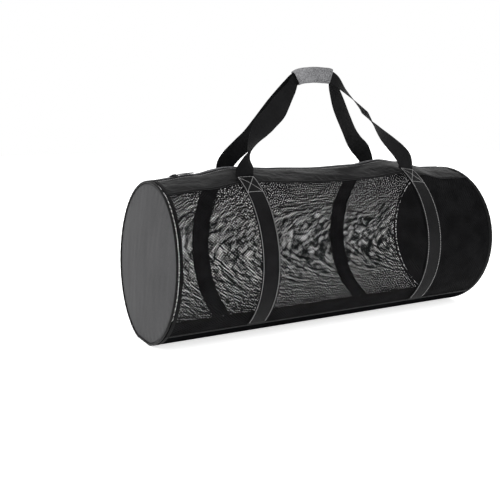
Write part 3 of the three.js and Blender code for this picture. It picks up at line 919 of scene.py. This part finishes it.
@dataclass
class Ends:
    """The two round end panels and the piping round them."""

    skin: Skin
    cloth: float = 1.2
    bulge: float = 7.0
    rings: int = 46
    spokes: int = 240
    cord_turns: int = 288
    cord_sides: int = 14
    hem: float = 9.0

    def panel(self, side: Side) -> Surface:
        """A disc of cloth that swells out as one less the square of its radius.

        Faint folds run up and down it, and small puckers run in from its sewn edge.

        Args:
            side: Which end.

        Returns:
            The closed panel.
        """
        s = self.skin.size
        turns = np.arange(self.spokes) * 360 / self.spokes
        inset = -(2 * s.piping_r + s.clear)
        rim = self.skin(side.value * (s.half - s.piping_r), turns, inset)
        middle = rim.mean(0)
        share = (np.arange(1, self.rings + 1) / self.rings)[:, None]
        ring = middle + (rim - middle)[None] * share[..., None]
        y, z = ring[..., 1], ring[..., 2] - s.radius
        rise = self.bulge * (1 - share**2)
        calm = smooth((1 - share) / 0.12)
        folds = calm * (0.4 * np.sin(y / 17 + 1.3 * np.sin(z / 90)) * np.exp(-((z + 20) / 130) ** 2)
                        + 0.6 * ripple(y / 70, z / 260, 41 + side.value, 6))
        pucker = 0.5 * np.exp(-((share - 0.95) / 0.05) ** 2) * np.sin(np.radians(turns) * 46)[None]
        out = rise + folds + pucker
        layers = []
        for shift in (self.cloth / 2, -self.cloth / 2):
            grid = ring.copy()
            grid[..., 0] += side.value * (out + shift)
            hub = middle + np.array([side.value * (self.bulge + folds[0].mean() + shift), 0, 0])
            layers.append(np.vstack([hub, grid.reshape(-1, 3)]))
        n = len(layers[0])
        j = np.arange(self.spokes)
        k = (j + 1) % self.spokes
        fan = np.stack([np.zeros_like(j), 1 + j, 1 + k], -1)
        quads = lattice(self.rings, self.spokes, True, 1)
        last = 1 + (self.rings - 1) * self.spokes
        edge = np.stack([last + j, n + last + j, n + last + k, last + k], -1)
        faces = [quads, (quads + n)[:, ::-1], fan, (fan + n)[:, ::-1], edge]
        return Surface(np.vstack(layers), faces, lined=(1, 3))

    def piping(self, side: Side) -> Surface:
        """A cord that closes on itself: a circle carried round the end of the skin.

        Args:
            side: Which end.

        Returns:
            The closed ring.
        """
        s = self.skin.size
        turns = np.arange(self.cord_turns) * 360 / self.cord_turns
        a = np.arange(self.cord_sides) * 2 * math.pi / self.cord_sides
        r = s.piping_r * (1 - 0.05 * np.sin(np.radians(turns) * 60))[:, None]
        grid = self.skin(side.value * (s.half - s.piping_r), turns[:, None], -s.piping_r + r * np.cos(a))
        grid[..., 0] += r * np.sin(a)
        return swept(grid, ring=True)

    def build(self, shop: Workshop) -> None:
        """Make both panels, both pipings and the hems inside them.

        Args:
            shop: Makes the objects.
        """
        s = self.skin.size
        for side in Side:
            label = side.name.lower()
            # The panel's inner side gets the near-black finish: painted shade for the dim inside of the bag
            made = shop.piece(f"end_cloth_{label}", self.panel(side), END_CLOTH.material(),
                              (f"end_panel_{label}",), lining=INNER_SIDE_SHADE.material())
            shop.piece(f"piping_cord_{label}", self.piping(side), PIPING_CLOTH.material(),
                       (f"end_piping_{label}",))
            x = side.value * np.linspace(s.body_end - self.hem, s.body_end, 4)[:, None]
            turns = (np.arange(self.spokes) * 360 / self.spokes)[None]
            hem = wall(self.skin(x, turns, 0.35), self.skin(x, turns, 0.05), wrap=True)
            shop.piece(f"end_hem_{label}", hem, BINDING_TAPE.material())


@dataclass
class Zip:
    """The closed zip along the ridge: two tapes, a chain of teeth, its slider and its pull."""

    skin: Skin
    length: float = 880.5
    tape_width: float = 15.0
    tape: float = 0.9
    pitch: float = 2.8
    chain: float = 6.0
    height: float = 2.4
    # Length and width of the slider's body, of the bridge on it and of the pull
    slider: tuple = (22.0, 11.2)
    bridge: tuple = (12.0, 4.4)
    pull: tuple = (42.0, 9.6)
    pull_gap: float = 1.5  # from the slider to its pull

    def frame_at(self, x: np.ndarray) -> tuple:
        """The ridge's place, direction and upward normal.

        Args:
            x: Places along the ridge.

        Returns:
            Points, directions along it and normals.
        """
        here = self.skin(x, 0.0)
        way = unit(self.skin(x + 1, 0.0) - self.skin(x - 1, 0.0))
        up = unit(np.cross(way, ACROSS))
        return here, way, up * np.sign(up[..., 2:3])

    def teeth(self) -> Surface:
        """Blocks narrower at the top, every second one set to the other side of the middle.

        Returns:
            All the teeth.
        """
        x = np.arange(-self.length / 2, self.length / 2, self.pitch / 2)
        here, way, up = self.frame_at(x)
        side = np.where(np.arange(len(x)) % 2, 1.0, -1.0)
        box = np.array([[a, b, c] for c in (0, 1) for b in (0, 1) for a in (-1, 1)], float)
        taper = np.where(box[:, 2] > 0, 0.7, 1.0)
        along = box[:, 0] * self.pitch * 0.3 * taper
        out = (box[:, 1] * (self.chain / 2 + 0.7) * taper - 0.7)[None] * side[:, None]
        tall = 0.1 + box[:, 2] * (self.height - 0.3)
        points = (here[:, None] + way[:, None] * along[None, :, None] + up[:, None] * tall[None, :, None]
                  + ACROSS * out[..., None])
        quads = np.array([[0, 2, 3, 1], [4, 5, 7, 6], [0, 1, 5, 4], [2, 6, 7, 3], [0, 4, 6, 2], [1, 3, 7, 5]])
        base = (np.arange(len(x)) * 8)[:, None, None]
        faces = quads[None] + base
        faces[side < 0] = faces[side < 0][..., ::-1]
        return Surface(points.reshape(-1, 3), [faces.reshape(-1, 4)])

    @staticmethod
    def oval(size: tuple, blunt: float = 1.0, flat: float = 1.0) -> np.ndarray:
        """An oval from 0 to its length, squared up at its ends and along its sides.

        Args:
            size: Its length and width.
            blunt: 1 for round ends, less for blunter ones.
            flat: 1 for round sides, less for straighter ones.

        Returns:
            Its outline.
        """
        a = np.linspace(0, 2 * math.pi, 28, endpoint=False)
        return np.stack([size[0] / 2 * (1 + squared(np.cos(a), blunt)),
                         size[1] / 2 * squared(np.sin(a), flat)], -1)

    def plate(self, x: float, outline: np.ndarray, low: float, high: float, reach: float) -> Surface:
        """A flat shape with softened edges that lies on the ridge.

        Args:
            x: Where it starts along the ridge.
            outline: Its outline as places along and across.
            low: Height of its underside.
            high: Height of its top.
            reach: Length over which the ridge's slope is taken.

        Returns:
            The closed plate.
        """
        foot, far = self.skin(x, 0.0), self.skin(x + reach, 0.0)
        way = unit(far - foot)
        up = unit(np.cross(way, ACROSS))
        up = up * np.sign(up[2])
        soft = min(0.5, (high - low) / 4)
        middle = outline.mean(0)
        rings = []
        for tall, shrink in ((low, soft), (low + soft, 0), (high - soft, 0), (high, soft)):
            flat = outline + unit(middle - outline) * shrink
            rings.append(foot + flat[:, :1] * way + flat[:, 1:] * ACROSS + tall * up)
        return swept(np.stack(rings))

    def build(self, shop: Workshop) -> None:
        """Make the tapes, the teeth, the slider, the pull and the stitches beside the tapes.

        Args:
            shop: Makes the objects.
        """
        s = self.skin.size
        edge = s.degrees(self.tape_width)
        strips = ClothPanels(self.skin)
        for face in Face:
            label = face.name.lower()
            tape = strips.strip(face.value * 0.05, face.value * edge, -self.tape, 0, 0, 3, 3.0)
            shop.piece(f"zip_ribbon_{label}", tape, ZIP_TAPE.material(), (f"zip_tape_{label}",))
        # The teeth's mid grey is a painted highlight: the light line along the ridge
        shop.piece("zip_teeth", self.teeth(), ZIP_TEETH_HIGHLIGHT.material(), ("zip_chain",),
                   smooth_faces=False)
        x0 = -self.length / 2 + 0.8 * self.slider[0]
        body = self.oval(self.slider, 0.6, 0.5)
        bridge = self.oval(self.bridge) + [self.bridge[0] / 2, 0]
        slider = joined([self.plate(x0, body, self.height + 0.6, self.height + 2.6, self.slider[0]),
                         self.plate(x0, bridge, self.height + 2.7, self.height + 4.4, self.slider[0])])
        shop.piece("zip_runner", slider, ZIP_METAL.material(), ("zip_slider",))
        pull = self.plate(x0 + self.slider[0] + self.pull_gap, self.oval(self.pull, 0.5, 0.7),
                          self.height + 1.3, self.height + 3.3, self.pull[0])
        shop.piece("zip_tab", pull, ZIP_METAL.material(), ("zip_pull",))
        x = np.linspace(-s.body_end + 4, s.body_end - 4, 900)
        beside = s.degrees(self.tape_width + 4)
        rows = [run_of_stitches(self.skin(x, face.value * beside, 0.15), *ZIP_STITCH) for face in Face]
        shop.piece("zip_stitches", joined(rows), PALE_THREAD.material())


@dataclass
class Straps:
    """The two runs of webbing, each sewn up one side of the bag twice and free between as a handle."""

    skin: Skin
    width: float = 50.0
    thick: float = 1.6
    sewn_to: float = 22.0
    rise: float = 238.0
    pair_gap: float = 2.0
    off: float = 2.564
    slope_fade: float = 0.16
    cup: float = 0.5
    columns: int = 11
    stations: int = 300
    sewn_stations: int = 70
    stitch_inset: float = 4.0
    box_turns: tuple = (1.5, 16.5)  # degrees below the handle's foot where the crossed box starts and ends
    # Handle routes: along, out, up, how much of the width is left, then the direction of the webbing's width
    front: tuple = ((-0.995, 1.0, 0.045, 1.0, 1, 0, 0), (-0.965, 0.98, 0.11, 1.0, 0.95, 0.3, -0.15),
                    (-0.92, 0.88, 0.21, 1.0, 0.55, 0.85, -0.1), (-0.864, 0.78, 0.307, 1.0, 0.15, 1, 0),
                    (-0.787, 0.67, 0.4, 1.0, -0.3, 0.85, 0.15), (-0.697, 0.555, 0.496, 1.0, -0.56, 0.5, 0.36),
                    (-0.55, 0.4, 0.61, 1.0, -0.56, 0.4, 0.45), (-0.457, 0.285, 0.71, 0.92, -0.5, 0.3, 0.55),
                    (-0.317, 0.12, 0.853, 0.68, -0.4, 0.12, 0.8), (-0.23, 0.03, 0.965, 0.56, -0.15, 0, 1),
                    (-0.067, 0, 1.0, 0.56, -0.02, 0, 1), (0.1, 0, 1.0, 0.56, 0.05, 0, 1),
                    (0.2, 0.02, 0.985, 0.56, 0.15, 0, 1), (0.358, 0.2, 0.828, 0.72, 0.35, 0.75, 0.45),
                    (0.53, 0.415, 0.643, 0.95, 0.35, 0.95, 0.1), (0.567, 0.47, 0.588, 1.0, 0.4, 0.92, 0),
                    (0.72, 0.68, 0.39, 1.0, 0.75, 0.55, 0.3), (0.82, 0.84, 0.28, 1.0, 0.85, 0.3, 0.4),
                    (0.905, 0.96, 0.19, 1.0, 0.92, 0.12, 0.35), (0.965, 1.0, 0.12, 1.0, 0.97, 0, 0.22),
                    (0.992, 1.0, 0.065, 1.0, 1, 0, 0.08))
    back: tuple = ((-0.992, 1.0, 0.06, 1.0, 1, 0, -0.08), (-0.96, 0.98, 0.115, 1.0, 0.97, 0, -0.22),
                   (-0.9, 0.93, 0.18, 1.0, 0.9, 0, -0.38), (-0.82, 0.82, 0.26, 1.0, 0.85, -0.05, -0.45),
                   (-0.735, 0.69, 0.345, 1.0, 0.8, -0.1, -0.5), (-0.636, 0.5, 0.483, 1.0, 0.75, -0.15, -0.5),
                   (-0.502, 0.27, 0.689, 0.95, 0.7, -0.1, -0.5), (-0.375, 0.1, 0.885, 0.66, 0.45, 0, -0.75),
                   (-0.3, 0.03, 0.965, 0.56, 0.15, 0, -1), (-0.113, 0, 1.0, 0.56, 0.02, 0, -1),
                   (0.05, 0, 1.0, 0.56, -0.05, 0, -1), (0.18, 0.02, 0.985, 0.56, -0.2, 0, -1),
                   (0.25, 0.12, 0.87, 0.66, -0.6, 0, -0.6), (0.372, 0.3, 0.697, 0.92, -0.85, -0.1, -0.5),
                   (0.576, 0.576, 0.454, 1.0, -0.9, -0.2, -0.55), (0.7, 0.75, 0.32, 1.0, -0.9, -0.15, -0.5),
                   (0.81, 0.88, 0.23, 1.0, -0.92, -0.05, -0.45), (0.9, 0.95, 0.17, 1.0, -0.95, 0, -0.22),
                   (0.96, 0.99, 0.115, 1.0, -0.98, 0, -0.1), (0.994, 1.0, 0.055, 1.0, -1, 0, -0.04))
    centres: dict = field(default_factory=dict)

    def profile(self) -> tuple:
        """The webbing's section: flat faces with rounded selvedges.

        Returns:
            Places across and places out, in mm, once round.
        """
        tip, r = self.width / 2, self.thick / 2
        across = np.linspace(-1, 1, self.columns) * (tip - r)
        level = np.full(self.columns, r)
        loop = np.vstack([np.stack([across, level], -1), [[tip, 0.0]],
                          np.stack([across[::-1], -level], -1), [[-tip, 0.0]]])
        return loop[:, 0], loop[:, 1]

    def handle(self, face: Face, px: np.ndarray, pz: np.ndarray) -> np.ndarray:
        """The free part: a curve through the route's places, turned and gathered as the rows say.

        Args:
            face: Which side of the bag.
            px: The section's places across.
            pz: The section's places out.

        Returns:
            One row of section points for each station.
        """
        sign = face.value
        left_x, right_x = self.skin.size.strap_places(face)
        rows = np.array(self.front if face is Face.FRONT else self.back, float)
        foot0, foot1 = (self.skin(x, sign * self.sewn_to, self.off) for x in (left_x, right_x))
        foot = foot0 + (foot1 - foot0) * (rows[:, :1] + 1) / 2
        least = (self.thick + self.pair_gap) / 2
        route = np.stack([(left_x + right_x) / 2 + rows[:, 0] * (right_x - left_x) / 2,
                          np.sign(foot[:, 1]) * np.maximum(least, np.abs(foot[:, 1]) * rows[:, 1]),
                          foot[:, 2] + rows[:, 2] * self.rise], -1)
        points = np.vstack([foot0, route, foot1])
        wides = np.vstack([[1, 0, 0], rows[:, 4:], [sign, 0, 0]])
        folds = np.concatenate([[1], rows[:, 3], [1]])[:, None]
        t = np.linspace(0, 1, self.stations + 2)[1:-1]
        p = through(points, t, 0.5)
        p[:, 1] = np.sign(foot0[1]) * np.maximum(least, np.abs(p[:, 1]))
        way = unit(through(points, t + 1e-4, 0.5) - through(points, t - 1e-4, 0.5))
        wide = through(wides, t, 0.0)
        wide = unit(wide - way * (wide * way).sum(1, keepdims=True))
        normal = np.cross(wide, way) * sign
        fold = np.minimum(1, through(folds, t, 0.0))
        cup = self.cup * np.sin(math.pi * t) * (1 - (2 * px / self.width) ** 2)[:, None]
        free = (p[:, None] + wide[:, None] * (px[None] * fold)[..., None]
                + normal[:, None] * (pz[:, None] + cup).T[..., None])
        # Close to where it leaves the bag the webbing still slopes across with the skin below it
        slope = 1 - smooth(np.minimum(t, 1 - t) / self.slope_fade)
        near = np.where(t < 0.5, left_x, right_x)
        under = self.skin(near[:, None] + px[None] * wide[:, :1], self.sewn_to)[..., 2]
        free[..., 2] += slope[:, None] * (under - self.skin(near, self.sewn_to)[:, None, 2])
        return free

    def web(self, face: Face) -> Surface:
        """Sewn up the skin, free over the handle and sewn down again, as one closed band.

        Args:
            face: Which side of the bag.

        Returns:
            The closed band with its flat map.
        """
        s, sign = self.skin.size, face.value
        left_x, right_x = s.strap_places(face)
        px, pz = self.profile()
        sewn_from = s.base_edge(face) - s.sewn_short
        turns = sign * np.linspace(sewn_from, self.sewn_to, self.sewn_stations)[:, None]
        left = self.skin(left_x + px[None], turns, self.off + pz[None])
        right = self.skin(right_x + sign * px[None], turns[::-1], self.off - sign * pz[None])
        loops = np.vstack([left, self.handle(face, px, pz), right])
        self.centres[face] = loops[:, self.columns // 2]
        flat = np.stack(np.broadcast_arrays(run_length(loops.mean(1))[:, None], px[None]), -1)
        return swept(loops, flat)

    def sewing(self) -> Surface:
        """Edge lines down each strap and a crossed box where the handle starts.

        Returns:
            All the pale stitches.
        """
        s = self.skin.size
        top = self.off + self.thick / 2 + 0.1
        edge = self.width / 2 - self.stitch_inset
        low, high = (self.sewn_to + turn for turn in self.box_turns)
        corners = ((-edge, low), (edge, low), (edge, high), (-edge, high))
        lines = ((0, 1), (1, 2), (2, 3), (3, 0), (0, 2), (1, 3))
        w = np.linspace(0, 1, 40)
        rows = []
        for face in Face:
            for x0 in s.strap_places(face):
                turns = np.linspace(high, s.base_edge(face) - s.sewn_short - 1, 200) * face.value
                for side in (-1, 1):
                    rows.append(run_of_stitches(self.skin(x0 + side * edge, turns, top), *STRAP_STITCH))
                for a, b in lines:
                    (xa, da), (xb, db) = corners[a], corners[b]
                    path = self.skin(x0 + xa + (xb - xa) * w, face.value * (da + (db - da) * w), top)
                    rows.append(run_of_stitches(path, *BOX_STITCH))
        return joined(rows)

    def build(self, shop: Workshop) -> None:
        """Make both bands and their sewing.

        Args:
            shop: Makes the objects.
        """
        for face in Face:
            label = face.name.lower()
            shop.piece(f"strap_{label}", self.web(face), WEBBING.material(),
                       (f"webbing_{label}",))
        shop.piece("strap_stitches", self.sewing(), PALE_THREAD.material())


@dataclass
class Grip:
    """The padded wrap that holds both handles together."""

    straps: Straps
    start: float = -0.245
    stop: float = 0.19
    fold: float = 0.56
    room: float = 3.2
    wall: float = 3.0
    above: float = 480.0  # higher than any sewn webbing, so only the handle's points are taken
    stations: int = 60
    sides: int = 48

    def sleeve(self) -> Surface:
        """A rounded flat tube that follows the handles, its padding fullest halfway along.

        Returns:
            The closed sleeve.
        """
        half = self.straps.skin.size.strap_places(Face.FRONT)[1]
        centre = self.straps.centres[Face.FRONT]
        share = centre[:, 0] / half
        held = centre[(share >= self.start) & (share <= self.stop) & (centre[:, 2] > self.above)]
        t = np.linspace(0, 1, self.stations)
        line = np.stack([np.interp(t, np.linspace(0, 1, len(held)), held[:, k]) for k in range(3)], -1)
        line[:, 1] = 0
        way = unit(np.gradient(line, axis=0))
        tall = np.stack([-way[:, 2], np.zeros(self.stations), way[:, 0]], -1)
        a = np.arange(self.sides) * 2 * math.pi / self.sides
        c, s = squared(np.cos(a), 0.5), squared(np.sin(a), 0.5)
        full = (np.sin(math.pi * t) ** 0.35)[:, None]

        def section(half_tall: float, half_thick: float, swell: float) -> np.ndarray:
            """One layer of the sleeve: a squared oval carried along the line."""
            rise = (half_tall + 0.4 * swell * full) * s[None]
            out = (half_thick + swell * full) * c[None]
            lumps = 0.35 * swell * ripple(t[:, None] * 4, a[None] / 1.2, 77, 5)
            return (line[:, None] + tall[:, None] * rise[..., None]
                    + ACROSS * (out + lumps * np.sign(c)[None])[..., None])

        inner_tall = self.straps.width * self.fold / 2 + self.room
        inner_thick = self.straps.thick + self.straps.pair_gap / 2 + self.room
        outer = section(inner_tall + self.wall * 0.7, inner_thick + self.wall * 0.7, 1.1)
        inner = section(inner_tall, inner_thick, 0.0)
        return wall(outer, inner, wrap=True)

    def build(self, shop: Workshop) -> None:
        """Make the sleeve.

        Args:
            shop: Makes the objects.
        """
        made = shop.piece("grip_wrap", self.sleeve(), GRIP_CLOTH.material(), ("handle_grip",))


@dataclass(frozen=True)
class Studio:
    """Camera, lights, surroundings and floor."""

    azimuth: float = -32.973
    elevation: float = 10.201
    roll: float = 0.664
    distance: float = 2.13496
    lens: float = 61.64
    aim: tuple = (-0.18946, 0.0, 0.19241)

    def camera(self) -> None:
        """Stand the camera where the photograph was taken from, without any shift."""
        data = bpy.data.cameras.new("camera")
        data.lens, data.sensor_width = self.lens, 36.0
        az, el = math.radians(self.azimuth), math.radians(self.elevation)
        back = Vector((math.sin(az) * math.cos(el), -math.cos(az) * math.cos(el), math.sin(el)))
        right = Vector((math.cos(az), math.sin(az), 0))
        up = back.cross(right)
        turn = Matrix((right, up, back)).transposed() @ Matrix.Rotation(math.radians(self.roll), 3, "Z")
        spot = Vector(self.aim) + Vector(SHIFT * MM) + back * self.distance
        made = bpy.data.objects.new("camera", data)
        made.matrix_world = Matrix.Translation(spot) @ turn.to_4x4()
        bpy.context.scene.collection.objects.link(made)
        bpy.context.scene.camera = made

    def lamp(self, name: str, spot: tuple, size: float, watts: float) -> None:
        """A soft square light aimed at the bag's middle.

        Args:
            name: Its name.
            spot: Where it hangs, in metres.
            size: Its side in metres.
            watts: Its power.
        """
        data = bpy.data.lights.new(name, "AREA")
        data.energy, data.size = watts, size
        made = bpy.data.objects.new(name, data)
        made.location = spot
        made.rotation_euler = (Vector((0, 0, 0.2)) - Vector(spot)).to_track_quat("-Z", "Y").to_euler()
        bpy.context.scene.collection.objects.link(made)

    def build(self) -> None:
        """Make the camera, three soft lights, a white surround and a pale floor."""
        self.camera()
        self.lamp("key", (-2.4, -2.0, 2.2), 1.6, 24)
        self.lamp("fill", (2.2, -2.6, 1.4), 2.0, 6)
        self.lamp("top", (0.0, 0.6, 2.8), 2.0, 12)
        world = bpy.data.worlds.new("studio")
        world.use_nodes = True
        world.node_tree.nodes.clear()
        glow = node(world.node_tree, "Background", {"Color": srgb("#ffffff"), "Strength": 1.0})
        node(world.node_tree, "OutputWorld", {"Surface": glow.outputs[0]})
        bpy.context.scene.world = world
        bpy.context.scene.view_settings.view_transform = "Standard"
        mesh = bpy.data.meshes.new("floor")
        far, low = 6.0, -0.0005
        corners = [(-far, -far, low), (far, -far, low), (far, far, low), (-far, far, low)]
        mesh.from_pydata(corners, [], [(0, 1, 2, 3)])
        mesh.materials.append(StagePaint().material())
        floor = bpy.data.objects.new("floor", mesh)
        bpy.context.scene.collection.objects.link(floor)


def main() -> None:
    """Build every piece in order."""
    logging.basicConfig(level=logging.INFO, format="%(name)s %(message)s")
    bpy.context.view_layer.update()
    Studio().build()
    skin = Skin(BagSize())
    shop = Workshop()
    straps = Straps(skin)
    for part in (NetPanels(skin), ClothPanels(skin), Ends(skin), Zip(skin), straps, Grip(straps)):
        part.build(shop)
        log.info("%s done", type(part).__name__)
    log.info("%d pieces, %d triangles", shop.count, shop.triangles)


if __name__ == "__main__":
    main()
